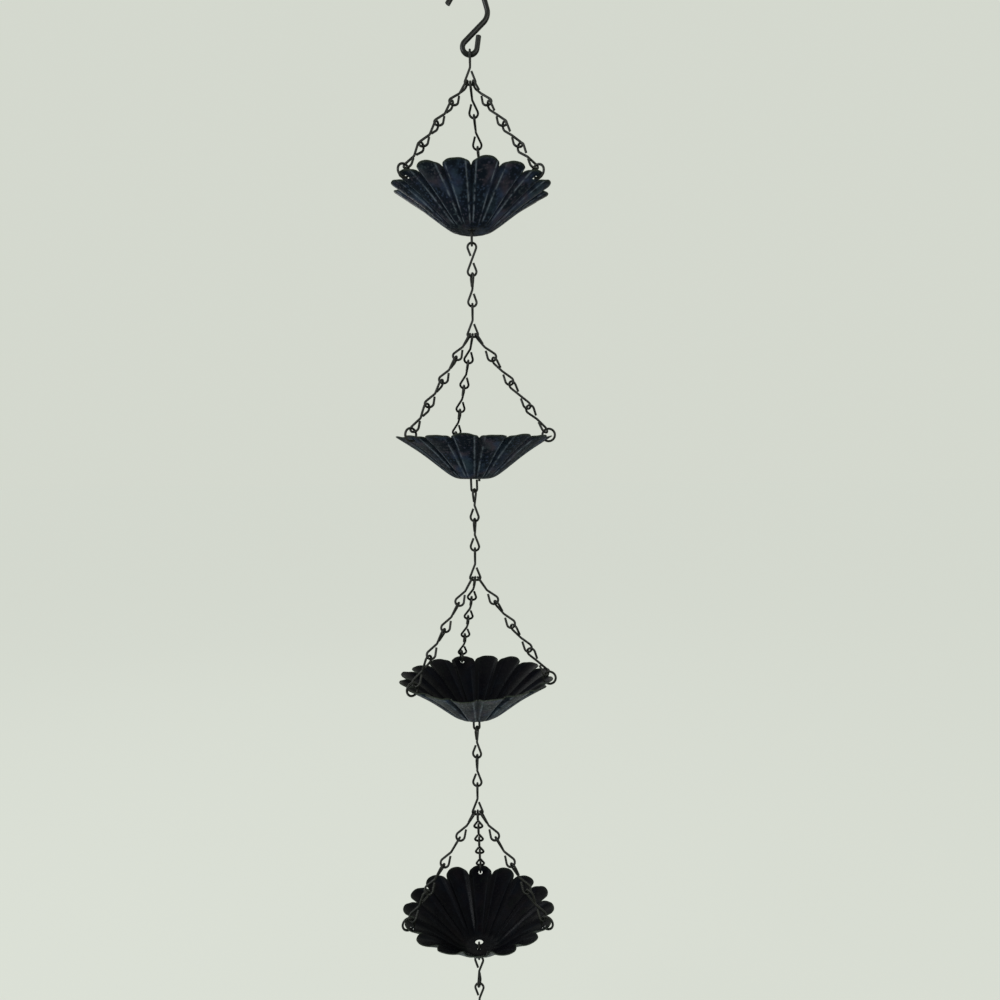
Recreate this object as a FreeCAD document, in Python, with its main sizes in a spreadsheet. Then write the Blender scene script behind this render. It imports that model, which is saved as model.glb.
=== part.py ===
import FreeCAD, Part
import math
import os

# A rain chain: an S-hook, four fluted cups in a row below it, and jack chain in bent wire between them.
# Frame: the origin is where the S-hook rests on its support, +Z up, +X right, +Y away from the viewer.
# The chain hangs straight down. Wire that touches wire is drawn a little apart, by joint_gap.

doc = FreeCAD.newDocument("rain_chain")
sheet = doc.addObject("Spreadsheet::Sheet", "dims")

DIMENSIONS = [
    ("chain_wire", 2.2, "diameter of the chain's wire"),
    ("hook_wire", 5.0, "diameter of the S-hook's wire"),
    ("joint_gap", 0.3, "air between two pieces that rest on each other"),
    ("link_length", 33.2, "outside length of a chain link"),
    ("loop_width", 10.4, "outside width of a link's loop"),
    ("waist_gap", 3.4, "height above the waist at which a link's free end stops"),
    ("apex_flat", 2.6, "half the straight part under an apex link's wide loop"),
    ("apex_bend", 2.4, "bend of the wide loop's two corners"),
    ("hook_bend", 11.0, "bend of the S-hook's upper curve"),
    ("hook_elbow", 12.3, "bend of the S-hook's middle curve"),
    ("hook_eye", 6.8, "bend of the S-hook's lower eye"),
    ("elbow_side", 4.4, "middle curve's centre, right of the hanging line"),
    ("elbow_drop", 31.2, "middle curve's centre, below the top curve's crown"),
    ("eye_drop", 62.3, "eye's centre, below the top curve's crown"),
    ("tip_fall", 21.1, "straight end of the upper curve"),
    ("eye_rise", 11.0, "straight end of the eye"),
    ("cup_width", 150.0, "cup across its petal tips"),
    ("cup_depth", 40.0, "underside of the floor below the petal tips"),
    ("floor_width", 41.0, "floor across the petals' feet"),
    ("flare_width", 25.0, "outer zone of a petal, which leans out more than its wall"),
    ("flare_rise", 3.1, "foot of that zone, above a straight line from the floor to the tips"),
    ("sheet_thickness", 0.8, "sheet of the cups"),
    ("petal_count", 16.0, "petals round a cup"),
    ("lobe_width", 26.0, "rounded end of a petal"),
    ("flute_depth", 4.8, "ridge between two petals, above their troughs, at the notch"),
    ("drain_hole", 8.0, "hole in the floor for the water and one strand of the hanger"),
    ("strand_hole", 3.2, "hole in the floor for the hanger's other end"),
    ("ring_width", 14.0, "outside diameter of a rim ring"),
    ("ring_lift", 3.0, "middle ring's centre above the middle of the petal's sheet"),
    ("side_lift", 2.4, "the other two rings' centres above it"),
    ("ring_hole", 4.4, "hole near the petal's tip"),
    ("hole_inset", 7.7, "centre of that hole, back from the tip along the slope"),
    ("hanger_drop", 12.5, "middle of the hanger's lowest wire, below the floor"),
    ("hanger_bend", 2.6, "bend of the hanger's lower end"),
    ("hanger_corner", 1.5, "bend of the hanger's upper corners"),
]
for row, (alias, value, note) in enumerate(DIMENSIONS, start=1):
    sheet.set(f"A{row}", note)
    sheet.set(f"B{row}", str(value))
    sheet.setAlias(f"B{row}", alias)
doc.recompute()
size = {alias: float(sheet.get(alias)) for alias, value, note in DIMENSIONS}

V = FreeCAD.Vector
Z_AXIS = V(0, 0, 1)
LINKS_PER_LEG = 4

wire = size["chain_wire"]
gap = size["joint_gap"]
reach = wire + gap
core_length = size["link_length"] - wire
pitch = core_length - reach
loop_bend = (size["loop_width"] - wire) / 2


def aligned(origin, z_dir, x_dir):
    """A placement at origin with its Z along z_dir and its X as near x_dir as it can be."""
    rotation = FreeCAD.Rotation(V(x_dir), V(0, 0, 0), V(z_dir), "ZXY")
    return FreeCAD.Placement(V(origin), rotation)


def cylinder(name, placement, height, radius_expression):
    body = doc.addObject("Part::Cylinder", name)
    body.Height = height
    body.setExpression("Radius", radius_expression)
    body.Placement = placement
    return body


def bend(name, centre, axis, start, angle, bend_radius, wire_alias):
    """A bent run of round wire: part of a torus, from start, turning about axis."""
    body = doc.addObject("Part::Torus", name)
    body.Radius1 = bend_radius
    body.setExpression("Radius2", f"dims.{wire_alias} / 2")
    body.Angle3 = angle
    body.Placement = aligned(centre, axis, start)
    return body


def fused(name, pieces):
    body = doc.addObject("Part::MultiFuse", name)
    body.Shapes = pieces
    return body


def bent_wire(name, corners, bends, wire_alias):
    """Round wire along straight runs, with a tangent bend at each inner corner."""
    points = [V(p) for p in corners]
    pieces = []
    start = points[0]
    for i in range(1, len(points)):
        end = points[i]
        run = (points[i] - points[i - 1]).normalize()
        after = points[i]
        if i < len(points) - 1:
            onward = (points[i + 1] - points[i]).normalize()
            turn = run.getAngle(onward)
            if turn > 1e-4:
                radius = bends[i - 1]
                tangent = radius * math.tan(turn / 2)
                end = points[i] - run * tangent
                after = points[i] + onward * tangent
                axis = run.cross(onward).normalize()
                inward = axis.cross(run)
                centre = end + inward * radius
                pieces.append(bend(f"{name}_bend{i}", centre, axis, end - centre, math.degrees(turn), radius,
                                   wire_alias))
        length = (end - start).Length
        if length > 1e-4:
            place = aligned(start, end - start, run.cross(V(0.31, 0.52, 0.79)))
            pieces.append(cylinder(f"{name}_run{i}", place, length, f"dims.{wire_alias} / 2"))
        start = after
    return fused(name, pieces)


def linked(name, master, placement):
    """One more of a piece that is already drawn."""
    copy = doc.addObject("App::Link", name)
    copy.LinkedObject = master
    copy.LinkPlacement = placement
    return copy


# The jack link: one wire in a figure of eight. Each loop is a drop shape, round at its end and narrow at the
# waist, where the wire's free ends stop. The lower loop is a quarter turn from the upper one.
half = core_length / 2
lean = math.asin(loop_bend / (half - loop_bend))
shoulder = half * math.tan(lean)
stop = size["waist_gap"] * math.tan(lean)


def loop_corners(side, turn, up):
    """Corners of one drop-shaped loop: far one first, in the plane that stands turn degrees from the XZ plane."""
    a = math.radians(turn)
    across = V(math.cos(a), math.sin(a), 0)
    rise = V(0, 0, half * up)
    free = V(0, 0, size["waist_gap"] * up) - across * (stop * side)
    return free, rise - across * (shoulder * side), rise + across * (shoulder * side)


def jack_link(name, turn):
    free_up, far_up, near_up = loop_corners(1, 0, 1)
    free_down, far_down, near_down = loop_corners(-1, turn, -1)
    corners = [free_up, far_up, near_up, V(0, 0, 0), near_down, far_down, free_down]
    bends = [loop_bend, loop_bend, 3.0, loop_bend, loop_bend]
    return bent_wire(name, corners, bends, "chain_wire")


jack = jack_link("jack_link", 90)
flat_jack = jack_link("flat_link", 0)

# The apex link carries three legs: its lower loop is a triangle with a straight foot.
corner_turn = math.pi / 2 + math.atan(1.0)
foot = size["apex_flat"]
for step in range(40):
    corner_turn = math.pi / 2 + math.atan(foot / half)
    foot = size["apex_flat"] + size["apex_bend"] * math.tan(corner_turn / 2)
apex_lean = foot / half
free_up, far_up, near_up = loop_corners(1, 90, 1)
apex_corners = [
    free_up, far_up, near_up, V(0, 0, 0), V(-foot, 0, -half), V(foot, 0, -half),
    V(size["waist_gap"] * apex_lean, 0, -size["waist_gap"]),
]
apex = bent_wire("apex_link", apex_corners, [loop_bend, loop_bend, 3.0, size["apex_bend"], size["apex_bend"]],
                 "chain_wire")

# The S-hook, in the XZ plane. Its upper curve rests on the support at the origin.
crown = size["hook_wire"] / 2
splay = math.radians(31)
top_centre = V(0, 0, crown - size["hook_bend"])
eye_centre = V(0, 0, crown - size["eye_drop"])
elbow_centre = V(size["elbow_side"], 0, crown - size["elbow_drop"])
# the straight run from the upper curve to the middle one touches both from outside
between = elbow_centre - top_centre
spread = math.hypot(between.x, between.z)
slope_out = math.asin(size["elbow_side"] / spread) - math.asin((size["hook_bend"] - size["hook_elbow"]) / spread)
# the diagonal run touches the middle curve on the right and the eye on the left
down = eye_centre - elbow_centre
span = math.hypot(down.x, down.z)
slope_in = math.asin((size["hook_elbow"] + size["hook_eye"]) / span) + math.atan2(-down.x, -down.z)


def meet(centre_a, radius_a, centre_b, radius_b, out_a, out_b):
    return centre_a + out_a * radius_a, centre_b + out_b * radius_b


out_dir = V(math.cos(slope_out), 0, math.sin(slope_out))
run_a, run_b = meet(top_centre, size["hook_bend"], elbow_centre, size["hook_elbow"], out_dir, out_dir)
in_dir = V(math.cos(slope_in), 0, -math.sin(slope_in))
run_c, run_d = meet(elbow_centre, size["hook_elbow"], eye_centre, size["hook_eye"], in_dir, -in_dir)
left_dir = V(-math.cos(splay), 0, math.sin(splay))
tip_top = top_centre + left_dir * size["hook_bend"]
tip_end = tip_top + V(-math.sin(splay), 0, -math.cos(splay)) * size["tip_fall"]
eye_turn = math.radians(8)
eye_out = V(math.cos(eye_turn), 0, -math.sin(eye_turn))
eye_top = eye_centre + eye_out * size["hook_eye"]
eye_end = eye_top + V(math.sin(eye_turn), 0, math.cos(eye_turn)) * size["eye_rise"]

FORWARD = V(0, 1, 0)


def sweep_between(first, last, clockwise):
    """Angle in degrees from first to last about +Y, or about -Y."""
    axis = FORWARD if clockwise else -FORWARD
    angle = math.degrees(math.atan2(axis.dot(first.cross(last)), first.dot(last)))
    return axis, angle % 360


hook_pieces = []


def hook_run(label, a, b):
    hook_pieces.append(cylinder(label, aligned(a, b - a, FORWARD), (b - a).Length, "dims.hook_wire / 2"))


def hook_bend(label, centre, radius, first, last, clockwise):
    axis, angle = sweep_between(first, last, clockwise)
    hook_pieces.append(bend(label, centre, axis, first, angle, radius, "hook_wire"))


hook_run("hook_tip", tip_end, tip_top)
hook_bend("hook_crown", top_centre, size["hook_bend"], left_dir, out_dir, True)
hook_run("hook_right", run_a, run_b)
hook_bend("hook_middle", elbow_centre, size["hook_elbow"], out_dir, in_dir, True)
hook_run("hook_diagonal", run_c, run_d)
hook_bend("hook_lower_eye", eye_centre, size["hook_eye"], -in_dir, eye_out, False)
hook_run("hook_eye_end", eye_top, eye_end)
hook = fused("s_hook", hook_pieces)

# One cup. Each petal is made of parts of two cones, a wall and a flatter flare that meet at the knee. A cone has its
# apex on the cup's axis, below the floor, so that its ridges between the petals are straight and meet there. The
# cup's own origin is on its axis at the level of the petal tips.
tip_radius = size["cup_width"] / 2
floor_radius = size["floor_width"] / 2
knee_radius = tip_radius - size["flare_width"]
knee_drop = size["flare_width"] * size["cup_depth"] / (tip_radius - floor_radius) - size["flare_rise"]
wall = math.atan2(size["cup_depth"] - knee_drop, knee_radius - floor_radius)
flare = math.atan2(knee_drop, size["flare_width"])
wall_apex = -size["cup_depth"] - floor_radius * math.tan(wall)
flare_apex = -tip_radius * math.tan(flare)
sector = 360 / size["petal_count"]
half_sector = math.radians(sector / 2)
lobe_centre = tip_radius - size["lobe_width"] / 2
lobe_half = lobe_centre * math.sin(half_sector)
notch = lobe_centre * math.cos(half_sector) + math.sqrt((size["lobe_width"] / 2) ** 2 - lobe_half ** 2)
chord = notch * math.sin(half_sector)
slope_dir = V(math.cos(flare), 0, math.sin(flare))
slope_up = V(-math.sin(flare), 0, math.cos(flare))


def petal_cone(name, slope, apex_z):
    """The cone that holds a petal's lowest line, at this slope, and the two ridges beside it."""
    lowest = V(math.cos(slope), 0, math.sin(slope))
    upward = V(-math.sin(slope), 0, math.cos(slope))
    ridge = V(notch * math.cos(half_sector), chord, 0)
    ridge.z = (size["flute_depth"] + ridge.x * math.sin(slope)) / math.cos(slope)
    ridge.normalize()
    opening = math.atan((1 - ridge.dot(lowest)) / ridge.dot(upward))
    body = doc.addObject("Part::Cone", name)
    body.Radius1 = 0
    body.setExpression("Height", "dims.cup_width * 0.8")
    body.setExpression("Radius2", f"dims.cup_width * 0.8 * {math.tan(opening):.9f}")
    axis = V(math.cos(slope + opening), 0, math.sin(slope + opening))
    body.Placement = aligned(V(0, 0, apex_z), axis, FORWARD)
    return body


def column(name, base, radius_expression, height_expression, angle=None):
    body = doc.addObject("Part::Cylinder", name)
    body.setExpression("Radius", radius_expression)
    body.setExpression("Height", height_expression)
    turn = 0.0
    if angle:
        body.setExpression("Angle", "360 / dims.petal_count")
        turn = -angle / 2
    body.Placement = FreeCAD.Placement(V(base), FreeCAD.Rotation(Z_AXIS, turn))
    return body


def boolean(kind, name, base, tool):
    body = doc.addObject(f"Part::{kind}", name)
    body.Base = base
    body.Tool = tool
    return body


floor_z = -size["cup_depth"]
outside = boolean("Fuse", "petal_outside", petal_cone("wall_outside", wall, wall_apex),
                  petal_cone("flare_outside", flare, flare_apex))
inside = boolean("Fuse", "petal_inside",
                 petal_cone("wall_inside", wall, wall_apex + size["sheet_thickness"] / math.cos(wall)),
                 petal_cone("flare_inside", flare, flare_apex + size["sheet_thickness"] / math.cos(flare)))
wedge = column("petal_wedge", (0, 0, floor_z), "dims.cup_width * 0.55", "dims.cup_depth * 1.4", sector)
block = boolean("Common", "petal_block", outside, wedge)
curved = boolean("Cut", "petal_sheet", block, inside)
stem = column("petal_stem", (0, 0, floor_z), "dims.cup_width / 2 - dims.lobe_width / 2", "dims.cup_depth * 1.4",
              sector)
lobe = column("petal_lobe", (lobe_centre, 0, floor_z), "dims.lobe_width / 2", "dims.cup_depth * 1.4")
outline = boolean("Fuse", "petal_outline", stem, lobe)
leaf = boolean("Common", "petal_leaf", curved, outline)
floor_wedge = column("floor_wedge", (0, 0, floor_z), "dims.floor_width * 0.56", "dims.sheet_thickness", sector)
floor_cone = petal_cone("floor_outside", wall, wall_apex)
floor_leaf = boolean("Common", "floor_leaf", floor_cone, floor_wedge)
petal = fused("petal", [leaf, floor_leaf])
petals = [petal]
for i in range(1, int(size["petal_count"])):
    petals.append(linked(f"petal_{i}", petal, FreeCAD.Placement(V(0, 0, 0), FreeCAD.Rotation(Z_AXIS, sector * i))))
floor_disc = column("floor_disc", (0, 0, floor_z), "dims.floor_width / 2 * 0.85", "dims.sheet_thickness")
bowl = fused("bowl", petals + [floor_disc])
bowl.Refine = True

# the legs hang from every fifth petal, which leaves one stretch of six
leg_steps = (0, 5, 10)
tip_middle = V(tip_radius, 0, 0) + slope_up * (size["sheet_thickness"] / 2)
hole_middle = tip_middle - slope_dir * size["hole_inset"]
ring_bend = size["ring_width"] / 2 - wire / 2


def ring_centre(lift):
    """A rim ring's centre, where the ring goes through the middle of its hole."""
    inset = size["hole_inset"] - math.sqrt(ring_bend ** 2 - lift ** 2)
    return tip_middle - slope_dir * inset + slope_up * lift


rim_holes = []
for step in leg_steps:
    turn = FreeCAD.Rotation(Z_AXIS, sector * step)
    place = FreeCAD.Placement(V(0, 0, 0), turn).multiply(aligned(hole_middle - slope_up * 4, slope_up, FORWARD))
    rim_holes.append(cylinder(f"rim_hole_{step}", place, 8.0, "dims.ring_hole / 2"))
cup = boolean("Cut", "cup", bowl, fused("rim_holes", rim_holes))

# A ring through the hole near a petal's tip. It is drawn in the XZ plane, open by a small slit.
ring = bend("ring", V(0, 0, 0), V(0, -1, 0), V(math.cos(2.2), 0, -math.sin(2.2)), 348, ring_bend, "chain_wire")
ring.setExpression("Radius1", "dims.ring_width / 2 - dims.chain_wire / 2")
ring_shape = fused("rim_ring", [ring, cylinder("ring_stub", aligned(
    V(math.cos(2.2), 0, -math.sin(2.2)) * ring_bend, V(-math.sin(2.2), 0, -math.cos(2.2)), FORWARD), 0.2,
    "dims.chain_wire / 2")])

# The hanger under a cup, in the XZ plane, its origin on the cup's axis at the underside of the floor. A bar lies on
# the strip of floor between two holes; one side goes down through the drain hole, and the wire closes below the
# floor, with a free end beside the right-hand strand.
bar_z = size["sheet_thickness"] + gap + wire / 2
left_x = -3.2
right_x = 2.5
nub_x = 4.9
hanger_bends = [size["hanger_bend"], size["hanger_bend"], size["hanger_corner"], size["hanger_corner"]]
u_half = size["hanger_bend"] * 1.06
hanger_corners = [
    V(right_x, 0, -0.7), V(u_half, 0, -size["hanger_drop"]), V(-u_half, 0, -size["hanger_drop"]),
    V(left_x, 0, bar_z), V(nub_x, 0, bar_z), V(nub_x, 0, -2.4),
]
hanger = bent_wire("hanger", hanger_corners, hanger_bends, "chain_wire")
strip_left = left_x + size["hanger_corner"] + 0.1
strip_right = nub_x - size["strand_hole"] / 2


def floor_holes(name):
    drain_x = strip_left - size["drain_hole"] / 2
    drain = cylinder(f"{name}_drain", FreeCAD.Placement(V(drain_x, 0, floor_z - 3), FreeCAD.Rotation()), 8.0,
                     "dims.drain_hole / 2")
    strand = cylinder(f"{name}_strand", FreeCAD.Placement(V(nub_x, 0, floor_z - 3), FreeCAD.Rotation()), 8.0,
                      "dims.strand_hole / 2")
    return fused(name, [drain, strand])


holes = floor_holes("floor_holes")

# The row below the hook, from the top down. Angles are about the vertical, counter-clockwise from above.
# cup_turn is where the cup's first leg petal points, hanger_turn the plane of the hanger, and each drop link has
# its kind, and the plane of its upper loop. Each leg turns by a quarter from the apex to its ring, and twist says
# how much of that each of its links has made.
TIERS = [
    {"cup_turn": 215.75, "hanger_turn": 90, "drop": [("flat", 0), ("jack", -72), ("apex", 0)]},
    {"cup_turn": -5.0, "hanger_turn": 0, "drop": [("jack", 72), ("jack", 80), ("apex", 0)]},
    {"cup_turn": -8.0, "hanger_turn": 0, "drop": [("jack", 75), ("jack", 84), ("apex", 0)]},
    {"cup_turn": -22.5, "hanger_turn": -90, "drop": [("jack", -14), ("jack", -6), ("jack", -22)]},
]
TWISTS = {"left": (0.05, 0.20, 0.35, 0.65), "middle": (0.0, 0.14, 0.42, 0.70), "right": (0.10, 0.30, 0.46, 0.70)}
SNARLED = (0.0, 0.30, 0.62, 0.90)
MASTERS = {"jack": jack, "flat": flat_jack, "apex": apex}
parts = {}


def node(name, members):
    body = doc.addObject("Part::Compound", name)
    body.Links = members
    body.Label = name
    parts[name] = body
    return body


def upright(centre, turn):
    return FreeCAD.Placement(V(0, 0, centre), FreeCAD.Rotation(Z_AXIS, turn))


def apex_seat(kind, apex_z):
    """Where a leg's first link rests on the triangle: the wire's middle, and the wire's direction there."""
    a = math.radians(35) * kind
    centre = V(size["apex_flat"] * kind, 0, apex_z + size["apex_bend"])
    if kind == 0:
        return V(0, 0, apex_z), V(1, 0, 0)
    place = centre + V(math.sin(a), 0, -math.cos(a)) * size["apex_bend"]
    return place, V(math.cos(a), 0, math.sin(a))


def contact(tangent_a, tangent_b, up):
    """Unit direction from one wire's middle to the other's, where two crossing wires rest on each other."""
    across = tangent_a.cross(tangent_b).normalize()
    return across if across.dot(up) > 0 else across * -1


def run_leg(seat, tangent, ring_tangent, spins, aim):
    """Places of a straight leg's links for an aim: compass angle and fall in radians, and the spacing of two wires
    that touch. Also where the ring's wire comes."""
    compass, fall, spacing = aim
    toward = V(math.cos(compass) * math.sin(fall), math.sin(compass) * math.sin(fall), -math.cos(fall))
    sideways = V(-math.sin(compass), math.cos(compass), 0)
    up = toward * -1
    in_plane = sideways.cross(toward)
    places = []
    bottom = seat
    wire_tangent = tangent
    for spin in spins:
        turn = math.radians(spin)
        x_dir = sideways * math.cos(turn) + in_plane * math.sin(turn)
        top = bottom + contact(wire_tangent, x_dir, up) * spacing
        places.append(aligned(top + toward * half, up, x_dir))
        bottom = top + toward * core_length
        wire_tangent = up.cross(x_dir)
    return places, bottom + contact(wire_tangent, ring_tangent, up) * spacing


def leg(name, seat, tangent, ring_at, radial, twist):
    """Four links from the apex to the ring in a straight line, the wires a little further apart where it is short."""
    ring_up = seat - ring_at
    side = V(-radial.y, radial.x, 0)
    ring_up = (ring_up - side * ring_up.dot(side)).normalize()
    ring_grip = ring_at + ring_up * ring_bend
    ring_tangent = side.cross(ring_up)
    way = ring_grip - seat
    flat = math.hypot(way.x, way.y)
    aim = [math.atan2(way.y, way.x), math.atan2(flat, -way.z), reach]
    toward = V(way).normalize()
    in_plane = side.cross(toward)
    upper_x = tangent.cross(toward).normalize()
    first_spin = math.degrees(math.atan2(upper_x.dot(in_plane), upper_x.dot(side)))
    first_spin = (first_spin + 90) % 180 - 90
    remaining = 90 - first_spin if first_spin > 0 else -90 - first_spin
    spins = [first_spin + remaining * share for share in twist]
    step = 1e-5
    for attempt in range(30):
        places, grip = run_leg(seat, tangent, ring_tangent, spins, aim)
        miss = grip - ring_grip
        if miss.Length < 1e-6:
            break
        columns = []
        for k in range(3):
            moved = list(aim)
            moved[k] += step
            columns.append((run_leg(seat, tangent, ring_tangent, spins, moved)[1] - grip) * (1 / step))
        first, second, third = columns
        volume = first.dot(second.cross(third))
        change = (
            -miss.dot(second.cross(third)) / volume,
            -first.dot(miss.cross(third)) / volume,
            -first.dot(second.cross(miss)) / volume,
        )
        aim = [aim[k] + max(-0.1, min(0.1, change[k])) for k in range(3)]
    if miss.Length > 0.01:
        raise RuntimeError(f"{name} misses its ring by {miss.Length:.2f} mm")
    members = [linked(f"{name}_link{i + 1}", jack, place) for i, place in enumerate(places)]
    node(name, members)
    print(f"{name} starts at spin {first_spin:.0f}, its wires are {aim[2] - wire:.2f} mm apart")


hook.Label = "s_hook"
parts["s_hook"] = hook
eye_bottom = eye_centre.z - size["hook_eye"]
link_top = eye_bottom + size["hook_wire"] / 2 + gap + wire / 2
node("top_link", [linked("top_link_wire", apex, upright(link_top - half, 0))])
apex_z = link_top - core_length
middle_seat = LINKS_PER_LEG * pitch + ring_bend - reach - 0.15
for number, tier in enumerate(TIERS, start=1):
    turns = [tier["cup_turn"] + sector * step for step in leg_steps]
    order = sorted(range(3), key=lambda i: math.cos(math.radians(turns[i])))
    kinds = {order[0]: -1, order[1]: 0, order[2]: 1}
    # the leg in the middle sets the cup's height
    middle_ring = ring_centre(size["ring_lift"])
    cup_z = apex_z - math.sqrt(middle_seat ** 2 - middle_ring.x ** 2) - middle_ring.z
    turned = upright(cup_z, tier["cup_turn"])
    pierce = FreeCAD.Placement(V(0, 0, 0), FreeCAD.Rotation(Z_AXIS, tier["hanger_turn"] - tier["cup_turn"]))
    shell = boolean("Cut", f"cup_{number}_sheet", cup, linked(f"cup_{number}_holes", holes, pierce))
    node(f"cup_{number}", [linked(f"cup_{number}_placed", shell, turned)])
    names = {-1: "left", 0: "middle", 1: "right"}
    for i, turn in enumerate(turns):
        kind = kinds[i]
        side = names[kind]
        seat, tangent = apex_seat(kind, apex_z)
        lift = size["ring_lift"] if kind == 0 else size["side_lift"]
        ring_at = upright(cup_z, turn).multVec(ring_centre(lift))
        radial = V(ring_at.x - seat.x, ring_at.y - seat.y, 0).normalize()
        twist = SNARLED if number == 4 and kind == 0 else TWISTS[side]
        leg(f"cup_{number}_{side}_leg", seat, tangent, ring_at, radial, twist)
        ring_place = aligned(ring_at, Z_AXIS, radial)
        node(f"cup_{number}_{side}_ring", [linked(f"cup_{number}_{side}_ring_wire", ring_shape, ring_place)])
    hanger_z = cup_z + floor_z
    node(f"hanger_{number}", [linked(f"hanger_{number}_wire", hanger, upright(hanger_z, tier["hanger_turn"]))])
    seat_z = hanger_z - size["hanger_drop"]
    for i, (kind, turn) in enumerate(tier["drop"]):
        middle = seat_z + reach - half
        letter = "abc"[i]
        wire_link = linked(f"drop_{number}{letter}_wire", MASTERS[kind], upright(middle, turn))
        node(f"drop_{number}{letter}", [wire_link])
        seat_z = seat_z - pitch
    print(f"cup {number}: rim level {cup_z:.2f}, apex {apex_z:.2f}, hanger {hanger_z:.2f}")
    apex_z = seat_z

doc.recompute()
faulty = []
for body in doc.Objects:
    if any(word in body.State for word in ("Invalid", "Error")):
        faulty.append(body.Name)
        continue
    if body.isDerivedFrom("Part::Feature") and (body.Shape.isNull() or not body.Shape.isValid()):
        faulty.append(body.Name)
if faulty:
    raise RuntimeError(f"these objects failed: {faulty}")

os.makedirs("parts", exist_ok=True)
for name, body in parts.items():
    body.Shape.exportStep(f"parts/{name}.step")
print(len(parts), "parts,", "chain ends at", round(min(b.Shape.BoundBox.ZMin for b in parts.values()), 2))
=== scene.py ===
"""The looks of a rain chain: four fluted cups on jack chain below an S-hook.

Metres, +Z up along the chain, +X right and +Y away from the viewer.
"""
import math

import bmesh
import bpy
from mathutils import Matrix, Vector


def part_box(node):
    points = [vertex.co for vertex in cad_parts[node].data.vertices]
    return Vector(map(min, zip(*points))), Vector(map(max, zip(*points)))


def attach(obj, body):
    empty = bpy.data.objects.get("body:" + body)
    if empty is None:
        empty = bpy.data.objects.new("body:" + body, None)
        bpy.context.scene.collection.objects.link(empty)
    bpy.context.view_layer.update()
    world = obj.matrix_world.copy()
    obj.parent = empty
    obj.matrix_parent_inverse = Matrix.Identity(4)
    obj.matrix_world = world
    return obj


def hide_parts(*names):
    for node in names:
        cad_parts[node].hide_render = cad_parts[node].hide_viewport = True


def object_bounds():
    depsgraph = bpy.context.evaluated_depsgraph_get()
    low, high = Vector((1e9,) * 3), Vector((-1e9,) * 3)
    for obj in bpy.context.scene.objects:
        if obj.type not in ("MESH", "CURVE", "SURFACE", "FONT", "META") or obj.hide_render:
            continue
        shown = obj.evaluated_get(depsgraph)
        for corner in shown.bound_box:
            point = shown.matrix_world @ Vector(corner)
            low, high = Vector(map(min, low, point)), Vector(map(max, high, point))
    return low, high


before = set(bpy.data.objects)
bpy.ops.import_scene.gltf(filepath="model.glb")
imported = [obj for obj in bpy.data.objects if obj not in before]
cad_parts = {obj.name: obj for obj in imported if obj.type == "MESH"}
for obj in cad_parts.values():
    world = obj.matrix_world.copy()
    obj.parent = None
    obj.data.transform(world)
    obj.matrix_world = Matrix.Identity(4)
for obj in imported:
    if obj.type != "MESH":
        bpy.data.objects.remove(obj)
cad_low, cad_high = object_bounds()

# The cups' driving sizes
CUP_WIDTH = 0.150
CUP_DEPTH = 0.040
FLOOR_WIDTH = 0.041
FLARE_WIDTH = 0.025
FLARE_RISE = 0.0031
SHEET = 0.0008
PETALS = 16
LOBE_WIDTH = 0.026
FLUTE_DEPTH = 0.0048
RING_HOLE = 0.0044
HOLE_INSET = 0.0077
DRAIN_HOLE = 0.0080
STRAND_HOLE = 0.0032
STRAND_X = 0.0049
DRAIN_X = -0.0056
# the petals that carry the rings, and how each cup and each hanger is turned about the chain, in degrees
LEG_STEPS = (0, 5, 10)
CUP_TURNS = (215.75, -5.0, -8.0, -22.5)
HANGER_TURNS = (90, 0, 0, -90)

tip_radius = CUP_WIDTH / 2
floor_radius = FLOOR_WIDTH / 2
knee_radius = tip_radius - FLARE_WIDTH
knee_drop = FLARE_WIDTH * CUP_DEPTH / (tip_radius - floor_radius) - FLARE_RISE
wall_slope = (CUP_DEPTH - knee_drop) / (knee_radius - floor_radius)
flare_slope = knee_drop / FLARE_WIDTH
sector = math.tau / PETALS
half_sector = sector / 2
slope_dir = Vector((1, 0, flare_slope)).normalized()
slope_up = Vector((-slope_dir.z, 0, slope_dir.x))

# the radius where the round ends of two neighbouring petals meet
lobe_centre = tip_radius - LOBE_WIDTH / 2
notch_radius = lobe_centre * math.cos(half_sector) + math.sqrt(
    (LOBE_WIDTH / 2) ** 2 - (lobe_centre * math.sin(half_sector)) ** 2)
# how far the ridge between two petals stands above their lowest lines, for each metre of radius
ridge_rise = (FLUTE_DEPTH / slope_dir.x) / notch_radius - flare_slope * (1 - math.cos(half_sector))

# The sheet's two bends: how soft each one is. The floor's bend is aimed a little too low, to end on the floor
KNEE_SOFTNESS = 0.0024
FLOOR_SOFTNESS = 0.0054
FLOOR_SINK = 0.0012

# A petal's tip: a higher fullness makes it blunter, a lower sharpness makes the notches steeper
NOTCH_DEPTH = 0.0118
TIP_FULLNESS = 2.4
NOTCH_SHARPNESS = 0.72

# Across half a petal, in shares: a nearly flat middle, a crease, a steep side and a small fold at its edge
CREASE = 8 / 12
CREASE_SOFTNESS = 0.07
MIDDLE_RISE = 0.34
SIDE_RISE = 0.66
FOLD_START = 0.90
FOLD_WIDTH = 0.10
FOLD_DROP = 0.08

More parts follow.
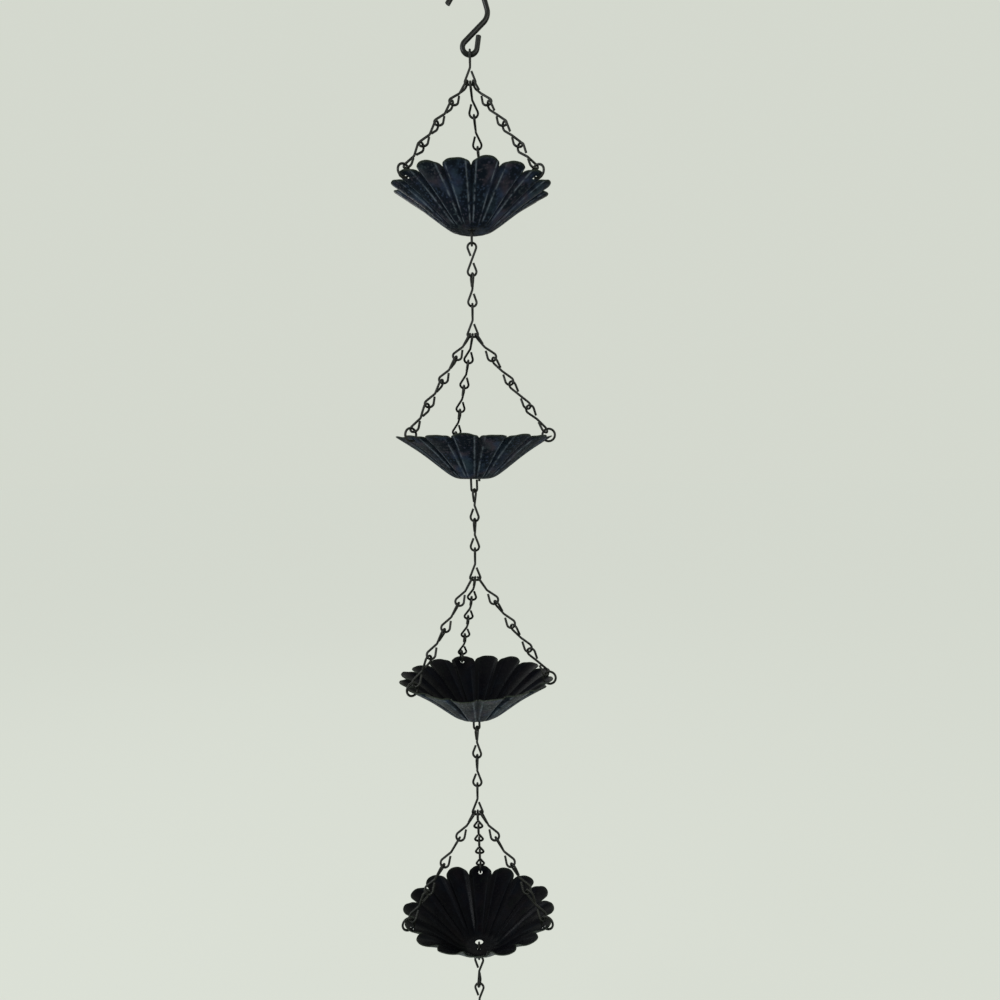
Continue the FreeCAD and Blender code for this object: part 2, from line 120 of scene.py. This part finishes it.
# Tips bent by use: the largest bend, where on the radius it starts, and each petal's share of it, cup by cup
TIP_BEND = 0.0016
BEND_START = 0.55
BENT_TIPS = {
    1: (0, 0.4, -0.8, 0.6, 0, 0, 0.7, -0.6, 0.3, 0, 0, 0.5, -0.4, 1.0, 0.8, 0),
    2: (0, -0.5, 0.3, 0.5, 0, 0, -0.7, 0.4, 0, 0, 0, -0.3, 0.6, -0.6, 0.2, 0),
    3: (0, 0.6, -0.3, 0.9, 0, 0, 0.2, -0.8, 0.5, 0, 0, 0.6, -0.9, 0.4, 1.0, 0),
    4: (0, -0.4, 0.8, -0.6, 0, 0, 0.9, 0.3, -0.7, 0, 0, -0.8, 0.5, 0.7, -0.5, 0),
}

# The flutes fade out into the floor, in shares of the floor's radius
FADE_START = 0.62
FADE_WIDTH = 0.75

# Wear and painted highlight: half the width of the light line on a crease, worn paint and a painted
# highlight, and the depth of the dull band at the rim
WORN_HIGHLIGHT_WIDTH = 0.0010
RIM_WIDTH = 0.0022
# shares of half a petal left unshaded beside a crease, and how fast the painted shade in the valley darkens
# beyond them
UNSHADED_SHARE = 0.08
VALLEY_SHADE_GAIN = 1.8
# the light crease lines (worn paint and painted highlight) and the painted valley shade start just inside the
# floor's edge, in shares of the floor's radius
CREASE_MARKS_START = 0.9
CREASE_MARKS_GAIN = 3

# The cups' meshes
ROWS = 36
COLUMNS = 24
BAR_SIDES = 40
BAR_LENGTH = 0.012
SHARP_ANGLE = math.radians(42)


# Small sums

def clamped(value):
    return min(1.0, max(0.0, value))


def eased(share):
    """A share between 0 and 1 that starts and ends gently."""
    return share ** 2 * (3 - 2 * share)


def soft_min(first, second, softness):
    """The lower of two values, with a soft bend where they cross."""
    return (first + second - math.hypot(first - second, softness)) / 2


def soft_max(first, second, softness):
    return (first + second + math.hypot(first - second, softness)) / 2


# Nodes

def material(name):
    made = bpy.data.materials.new(name)
    made.use_nodes = True
    tree = made.node_tree
    return made, tree, tree.nodes["Principled BSDF"]


def node(tree, kind, **settings):
    """A new node. A setting is the value of the input of that name, or else a property."""
    made = tree.nodes.new(kind)
    for key, value in settings.items():
        if key in made.inputs:
            made.inputs[key].default_value = value
        else:
            setattr(made, key, value)
    return made


def feed(tree, value, socket):
    """Gives an input its value: another node's output, a colour or a number."""
    if isinstance(value, bpy.types.NodeSocket):
        tree.links.new(value, socket)
    elif isinstance(value, tuple):
        socket.default_value = (*value, 1)
    else:
        socket.default_value = value


def coordinates(tree):
    return node(tree, "ShaderNodeTexCoord").outputs["Object"]


def attribute(tree, name):
    return node(tree, "ShaderNodeAttribute", attribute_name=name).outputs["Fac"]


def noise_texture(tree, where, scale, detail=3.0):
    made = node(tree, "ShaderNodeTexNoise", Scale=scale, Detail=detail, Roughness=0.55)
    tree.links.new(where, made.inputs["Vector"])
    return made.outputs["Fac"]


def ramp(tree, factor, *stops):
    """A colour ramp of (place, colour) stops."""
    made = node(tree, "ShaderNodeValToRGB")
    elements = made.color_ramp.elements
    while len(elements) < len(stops):
        elements.new(0.5)
    for element, (place, colour) in zip(elements, stops):
        element.position = place
        element.color = (*colour, 1)
    tree.links.new(factor, made.inputs["Fac"])
    return made.outputs["Color"]


def mixed(tree, factor, first, second):
    """A blend of two colours, each an output or a tuple."""
    made = node(tree, "ShaderNodeMix", data_type="RGBA")
    sockets = {socket.identifier: socket for socket in [*made.inputs, *made.outputs]}
    feed(tree, factor, sockets["Factor_Float"])
    feed(tree, first, sockets["A_Color"])
    feed(tree, second, sockets["B_Color"])
    return sockets["Result_Color"]


def combined(tree, operation, first, second):
    """Two values in one math node."""
    made = node(tree, "ShaderNodeMath", operation=operation)
    feed(tree, first, made.inputs[0])
    feed(tree, second, made.inputs[1])
    return made.outputs["Value"]


def blended(tree, factor, first, second):
    """Two shaders in one mix node."""
    made = node(tree, "ShaderNodeMixShader")
    feed(tree, factor, made.inputs["Fac"])
    feed(tree, first, made.inputs[1])
    feed(tree, second, made.inputs[2])
    return made.outputs["Shader"]


def remapped(tree, value, low, high, to_low=0.0, to_high=1.0):
    made = node(tree, "ShaderNodeMapRange")
    made.inputs["From Min"].default_value = low
    made.inputs["From Max"].default_value = high
    made.inputs["To Min"].default_value = to_low
    made.inputs["To Max"].default_value = to_high
    tree.links.new(value, made.inputs["Value"])
    return made.outputs["Result"]


# Finishes

RUST = (0.022, 0.016, 0.011)
BLACK = (0, 0, 0)
# where the four colours of a cup's clouds lie in the noise that mixes them
CLOUD_STOPS = (0.34, 0.46, 0.56, 0.68)
# the hammered cells: how many to the metre, how far they are bent out of shape, and how deep they are
CELL_SCALE = 330
CELL_WARP = 0.004
CELL_DEPTH = 0.00028
FINE_DEPTH = 0.0002
# how much of the sheet's colour the painted shade between two petals hides
VALLEY_SHADE_COVER = 0.75


def enamel(name, dark, light, roughness, grain):
    """Black enamel on wire: slightly uneven, with a few dull rusty specks."""
    made, tree, shader = material(name)
    where = coordinates(tree)
    cloud = noise_texture(tree, where, scale=90)
    colour = ramp(tree, cloud, (0.35, dark), (0.7, light))
    specks = remapped(tree, noise_texture(tree, where, scale=520, detail=2.0), low=0.66, high=0.72)
    feed(tree, mixed(tree, specks, colour, RUST), shader.inputs["Base Color"])
    uneven = remapped(tree, cloud, low=0.3, high=0.7, to_low=roughness - 0.08, to_high=roughness + 0.12)
    feed(tree, uneven, shader.inputs["Roughness"])
    bump = node(tree, "ShaderNodeBump", Strength=0.35, Distance=grain)
    feed(tree, noise_texture(tree, where, scale=900, detail=4.0), bump.inputs["Height"])
    feed(tree, bump.outputs["Normal"], shader.inputs["Normal"])
    feed(tree, 0.18, shader.inputs["Specular IOR Level"])
    return made


def patina(name, clouds, pit_and_valley_shade, worn_highlight_to, rim_to, roughness, specular, lacquer):
    """Hammered finish of a cup's sheet. A light line of wear and painted highlight where the sheet bends,
    painted shade in the valleys between petals, duller and greener at the rim.
    """
    made, tree, shader = material(name)
    where = coordinates(tree)
    broad = ramp(tree, noise_texture(tree, where, scale=34, detail=2.0), *zip(CLOUD_STOPS, clouds))
    # dark pits between lighter pads, in patches
    warp = node(tree, "ShaderNodeTexNoise", Scale=220, Detail=2.0)
    feed(tree, where, warp.inputs["Vector"])
    moved = node(tree, "ShaderNodeVectorMath", operation="MULTIPLY_ADD")
    feed(tree, warp.outputs["Color"], moved.inputs[0])
    moved.inputs[1].default_value = (CELL_WARP, CELL_WARP, CELL_WARP)
    feed(tree, where, moved.inputs[2])
    cells = node(tree, "ShaderNodeTexVoronoi", feature="SMOOTH_F1", Scale=CELL_SCALE)
    cells.inputs["Smoothness"].default_value = 0.35
    feed(tree, moved.outputs["Vector"], cells.inputs["Vector"])
    distance = cells.outputs["Distance"]
    pits = remapped(tree, distance, low=0.18, high=0.46)
    patches = remapped(tree, noise_texture(tree, where, scale=48), low=0.36, high=0.52)
    colour = mixed(tree, mixed(tree, patches, BLACK, pits), broad, pit_and_valley_shade)
    # painted shade in the valleys, a light line of worn paint and painted highlight on the creases, and the
    # rim
    valley_shade = remapped(tree, attribute(tree, "valley_shade"), low=0.0, high=1.0, to_high=VALLEY_SHADE_COVER)
    # painted shade: the valleys between petals are darkened towards the pits' colour
    colour = mixed(tree, valley_shade, colour, pit_and_valley_shade)
    uneven = remapped(tree, noise_texture(tree, where, scale=160), low=0.35, high=0.6)
    # painted highlight with worn paint: a lighter line along each crease
    worn_highlight_line = combined(tree, "MULTIPLY", attribute(tree, "worn_highlight"), uneven)
    colour = mixed(tree, worn_highlight_line, colour, worn_highlight_to)
    colour = mixed(tree, attribute(tree, "rim"), colour, rim_to)
    feed(tree, colour, shader.inputs["Base Color"])
    gloss = remapped(tree, distance, low=0.1, high=0.6, to_low=roughness - 0.06, to_high=roughness + 0.10)
    feed(tree, gloss, shader.inputs["Roughness"])
    bump = node(tree, "ShaderNodeBump", Strength=0.5, Distance=CELL_DEPTH)
    bump.invert = True
    feed(tree, distance, bump.inputs["Height"])
    fine = node(tree, "ShaderNodeBump", Strength=0.25, Distance=FINE_DEPTH)
    feed(tree, noise_texture(tree, where, scale=1400), fine.inputs["Height"])
    feed(tree, bump.outputs["Normal"], fine.inputs["Normal"])
    feed(tree, fine.outputs["Normal"], shader.inputs["Normal"])
    feed(tree, specular, shader.inputs["Specular IOR Level"])
    feed(tree, lacquer, shader.inputs["Coat Weight"])
    feed(tree, 1.25, shader.inputs["Coat IOR"])
    feed(tree, 0.22, shader.inputs["Coat Roughness"])
    return made


wire_black = enamel("wire_enamel", dark=(0.004, 0.005, 0.004), light=(0.011, 0.012, 0.009),
                    roughness=0.38, grain=0.00015)
hook_black = enamel("hook_enamel", dark=(0.004, 0.005, 0.004), light=(0.011, 0.012, 0.010),
                    roughness=0.34, grain=0.00020)
# navy, teal and a purplish brown outside
cup_outside = patina(
    "cup_patina",
    clouds=((0.020, 0.034, 0.046), (0.021, 0.031, 0.057), (0.036, 0.030, 0.040), (0.026, 0.038, 0.043)),
    pit_and_valley_shade=(0.005, 0.008, 0.013), worn_highlight_to=(0.100, 0.120, 0.142), rim_to=(0.024, 0.030, 0.022),
    roughness=0.27, specular=0.02, lacquer=0.03)
# nearly black inside
cup_inside = patina(
    "cup_inside",
    clouds=((0.003, 0.004, 0.005), (0.003, 0.004, 0.006), (0.005, 0.004, 0.005), (0.003, 0.005, 0.004)),
    pit_and_valley_shade=(0.002, 0.002, 0.003), worn_highlight_to=(0.006, 0.007, 0.009), rim_to=(0.012, 0.015, 0.011),
    roughness=0.30, specular=0.02, lacquer=0.10)


def paint(piece, *finishes):
    piece.data.materials.clear()
    for finish in finishes:
        piece.data.materials.append(finish)


for name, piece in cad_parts.items():
    paint(piece, hook_black if name == "s_hook" else wire_black)


# The cups

def outline(off):
    """How far a petal reaches at an angle from its middle: a round tongue between sharp notches."""
    share = min(1.0, abs(off) / half_sector)
    return tip_radius - NOTCH_DEPTH * (1 - (1 - share ** TIP_FULLNESS) ** NOTCH_SHARPNESS)


def trough_level(radius):
    """Height of a petal's lowest line: a flat floor, a wall and a flatter flare, with soft bends between."""
    wall = -CUP_DEPTH + wall_slope * (radius - floor_radius)
    flare = flare_slope * (radius - tip_radius)
    side = soft_min(wall, flare, KNEE_SOFTNESS)
    return max(-CUP_DEPTH, soft_max(side, -CUP_DEPTH - FLOOR_SINK, FLOOR_SOFTNESS))


def flute_rise(share):
    """Share of the ridge's height that is reached at a share of half a petal."""
    side = soft_max(share - CREASE, 0, CREASE_SOFTNESS) / soft_max(1 - CREASE, 0, CREASE_SOFTNESS)
    fold = max(0.0, share - FOLD_START) / FOLD_WIDTH
    return MIDDLE_RISE * share ** 2 + SIDE_RISE * side - FOLD_DROP * fold ** 2


def petal_height(number, radius, angle):
    """Height of the sheet's underside for a place in the cup's own frame."""
    petal = round(angle / sector)
    off = angle - petal * sector
    share = abs(off) / half_sector
    trough = trough_level(radius)
    flute = ridge_rise * radius * flute_rise(share)
    tips = BENT_TIPS[number]
    here = tips[petal % PETALS]
    beside = tips[(petal + (1 if off > 0 else -1)) % PETALS]
    blend = eased(share) / 2
    reach = max(0.0, (radius / tip_radius - BEND_START) / (1 - BEND_START))
    bend = (here * (1 - blend) + beside * blend) * TIP_BEND * reach ** 2
    fade = eased(clamped((radius / floor_radius - FADE_START) / FADE_WIDTH))
    return max(-CUP_DEPTH, trough + (flute + bend) * fade)


def cup_surface(number):
    """The sheet's underside as a mesh, with the light line of wear and painted highlight on its creases, the
    painted shade of its valleys, and its rim marked.
    """
    mesh = bmesh.new()
    worn_highlight_layer = mesh.verts.layers.float.new("worn_highlight")
    valley_shade_layer = mesh.verts.layers.float.new("valley_shade")
    rim_layer = mesh.verts.layers.float.new("rim")
    total = PETALS * COLUMNS
    rings = []
    for row in range(1, ROWS + 1):
        ring = []
        for column in range(total):
            angle = (column / COLUMNS - 0.5) * sector
            off = angle - round(angle / sector) * sector
            edge = outline(off)
            radius = edge * (row / ROWS)
            height = petal_height(number, radius, angle)
            vertex = mesh.verts.new((radius * math.cos(angle), radius * math.sin(angle), height))
            # the line from the petal's middle to the next petal passes a crease and then the valley, which
            # gets painted shade
            across = abs(off) / half_sector
            along = clamped((radius / floor_radius - CREASE_MARKS_START) * CREASE_MARKS_GAIN)
            from_crease = abs(across - CREASE) * half_sector * radius
            valley_shade_share = max(0.0, across - CREASE - UNSHADED_SHARE) / (1 - CREASE)
            # a light line on the crease: worn paint and a painted highlight
            vertex[worn_highlight_layer] = clamped(1 - from_crease / WORN_HIGHLIGHT_WIDTH) * along
            # painted shade, darker towards the valley
            vertex[valley_shade_layer] = clamped(valley_shade_share * VALLEY_SHADE_GAIN) * along
            vertex[rim_layer] = clamped(1 - (edge - radius) / RIM_WIDTH)
            ring.append(vertex)
        rings.append(ring)
    centre = mesh.verts.new((0, 0, -CUP_DEPTH))
    for column in range(total):
        onward = (column + 1) % total
        mesh.faces.new((centre, rings[0][onward], rings[0][column]))
        for inner, outer in zip(rings, rings[1:]):
            mesh.faces.new((inner[column], inner[onward], outer[onward], outer[column]))
    mesh.normal_update()
    return mesh


def cup_seat(number):
    """Where a cup sits: Z is its axis, X its first leg's petal, and its origin is level with its tips."""
    low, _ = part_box(f"cup_{number}")
    turn = Matrix.Rotation(math.radians(CUP_TURNS[number - 1]), 4, "Z")
    return Matrix.Translation((0, 0, low.z + CUP_DEPTH)) @ turn


def hole_places(seat, hanger_turn):
    """The middle, direction and diameter of each of a cup's holes, in its own frame."""
    places = []
    hole = Vector((tip_radius, 0, 0)) + slope_up * (SHEET / 2) - slope_dir * HOLE_INSET
    for step in LEG_STEPS:
        turn = Matrix.Rotation(sector * step, 3, "Z")
        places.append((turn @ hole, turn @ slope_up, RING_HOLE))
    # the floor's two holes line up with the hanger, whichever way the cup is turned
    first = seat.to_3x3() @ Vector((1, 0, 0))
    turn = Matrix.Rotation(math.radians(hanger_turn) - math.atan2(first.y, first.x), 3, "Z")
    up = Vector((0, 0, 1))
    places.append((turn @ Vector((DRAIN_X, 0, -CUP_DEPTH)), up, DRAIN_HOLE))
    places.append((turn @ Vector((STRAND_X, 0, -CUP_DEPTH)), up, STRAND_HOLE))
    return places


def linked(name, mesh):
    """An object made of a bmesh, in the scene."""
    data = bpy.data.meshes.new(name)
    mesh.to_mesh(data)
    mesh.free()
    piece = bpy.data.objects.new(name, data)
    bpy.context.scene.collection.objects.link(piece)
    return piece


def hole_bars(name, places):
    """Round bars that stand for the holes."""
    mesh = bmesh.new()
    for middle, direction, diameter in places:
        turn = direction.to_track_quat("Z", "X").to_matrix().to_4x4()
        bmesh.ops.create_cone(mesh, cap_ends=True, segments=BAR_SIDES, depth=BAR_LENGTH,
                              radius1=diameter / 2, radius2=diameter / 2,
                              matrix=Matrix.Translation(middle) @ turn)
    return linked(name, mesh)


def apply_modifiers(piece):
    """Makes a piece's modifiers part of its mesh."""
    graph = bpy.context.evaluated_depsgraph_get()
    data = bpy.data.meshes.new_from_object(piece.evaluated_get(graph))
    piece.modifiers.clear()
    piece.data = data


def make_cup(number):
    seat = cup_seat(number)
    piece = linked(f"cup_{number}_sheet", cup_surface(number))
    paint(piece, cup_outside, cup_inside)
    thick = piece.modifiers.new("thickness", "SOLIDIFY")
    thick.thickness = SHEET
    thick.offset = -1
    thick.use_even_offset = True
    thick.material_offset = 1
    bars = hole_bars(f"cup_{number}_bars", hole_places(seat, HANGER_TURNS[number - 1]))
    holes = piece.modifiers.new("holes", "BOOLEAN")
    holes.operation = "DIFFERENCE"
    holes.solver = "EXACT"
    holes.object = bars
    bpy.context.view_layer.update()
    apply_modifiers(piece)
    bpy.data.objects.remove(bars)
    piece.data.transform(seat)
    for polygon in piece.data.polygons:
        polygon.use_smooth = True
    piece.data.set_sharp_from_angle(angle=SHARP_ANGLE)
    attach(piece, f"cup_{number}_unit")
    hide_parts(f"cup_{number}")


for number in (1, 2, 3, 4):
    make_cup(number)


# Floor, light and camera

FLOOR_DROP = 0.12
FLOOR_SIZE = 20
PAPER = (0.66, 0.69, 0.62)
SKY = (0.80, 0.86, 0.90)
# how much of the floor is a plain glow to the camera, and how bright that is
GLOW_SHARE = 0.85
GLOW_STRENGTH = 1.12
LAMP_SIZE = 1.2


def make_floor():
    mesh = bmesh.new()
    bmesh.ops.create_grid(mesh, x_segments=1, y_segments=1, size=FLOOR_SIZE)
    floor = linked("floor", mesh)
    floor.location = (0, 0, cad_low.z - FLOOR_DROP)
    finish, tree, shader = material("floor_paper")
    feed(tree, PAPER, shader.inputs["Base Color"])
    feed(tree, 0.9, shader.inputs["Roughness"])
    # seen by the camera it is mostly the background's own colour, with a soft shadow left on it
    glow = node(tree, "ShaderNodeEmission", Color=(*PAPER, 1), Strength=GLOW_STRENGTH)
    seen = node(tree, "ShaderNodeLightPath").outputs["Is Camera Ray"]
    share = combined(tree, "MULTIPLY", seen, GLOW_SHARE)
    surface = blended(tree, share, shader.outputs["BSDF"], glow.outputs["Emission"])
    feed(tree, surface, tree.nodes["Material Output"].inputs["Surface"])
    floor.data.materials.append(finish)


def make_world():
    """The wall's colour where it is seen, straight or reflected, and a cooler, dimmer light elsewhere."""
    world = bpy.data.worlds.new("studio")
    bpy.context.scene.world = world
    world.use_nodes = True
    tree = world.node_tree
    shown = node(tree, "ShaderNodeBackground", Color=(*PAPER, 1), Strength=1.0)
    fill = node(tree, "ShaderNodeBackground", Color=(*SKY, 1), Strength=0.28)
    rays = node(tree, "ShaderNodeLightPath").outputs
    seen = combined(tree, "MAXIMUM", rays["Is Camera Ray"], rays["Is Transmission Ray"])
    seen = combined(tree, "MAXIMUM", seen, rays["Is Glossy Ray"])
    surface = blended(tree, seen, fill.outputs["Background"], shown.outputs["Background"])
    feed(tree, surface, tree.nodes["World Output"].inputs["Surface"])


def area_light(name, place, target, power, colour):
    data = bpy.data.lights.new(name, "AREA")
    data.shape = "SQUARE"
    data.size = LAMP_SIZE
    data.energy = power
    data.color = colour
    lamp = bpy.data.objects.new(name, data)
    lamp.location = place
    lamp.rotation_euler = (Vector(target) - Vector(place)).to_track_quat("-Z", "Y").to_euler()
    bpy.context.scene.collection.objects.link(lamp)


def make_camera():
    """A phone held level with the second cup, a little right of the chain, and turned a little."""
    place = (0.0246, -0.7050, -0.4426)
    focal_share = 0.7335
    tip_down = math.radians(3.20)
    roll = math.radians(-0.48)
    data = bpy.data.cameras.new("camera")
    data.sensor_width = 36
    data.lens = data.sensor_width * focal_share
    data.clip_start = 0.01
    data.clip_end = 50
    camera = bpy.data.objects.new("camera", data)
    aim = Matrix.Rotation(math.radians(90) - tip_down, 4, "X") @ Matrix.Rotation(roll, 4, "Z")
    camera.matrix_world = Matrix.Translation(place) @ aim
    bpy.context.scene.collection.objects.link(camera)
    bpy.context.scene.camera = camera


make_floor()
make_world()
area_light("window", place=(-1.8, -1.1, 0.4), target=(0, 0, -0.5), power=46, colour=(0.96, 0.98, 1.0))
area_light("side_fill", place=(1.0, -1.4, 0.0), target=(0, 0, -0.2), power=18, colour=(1.0, 0.99, 0.96))
area_light("back_fill", place=(-0.6, 1.6, 0.3), target=(0, 0, -0.5), power=4, colour=(0.97, 0.99, 1.0))
make_camera()

bpy.context.scene.view_settings.view_transform = "Standard"
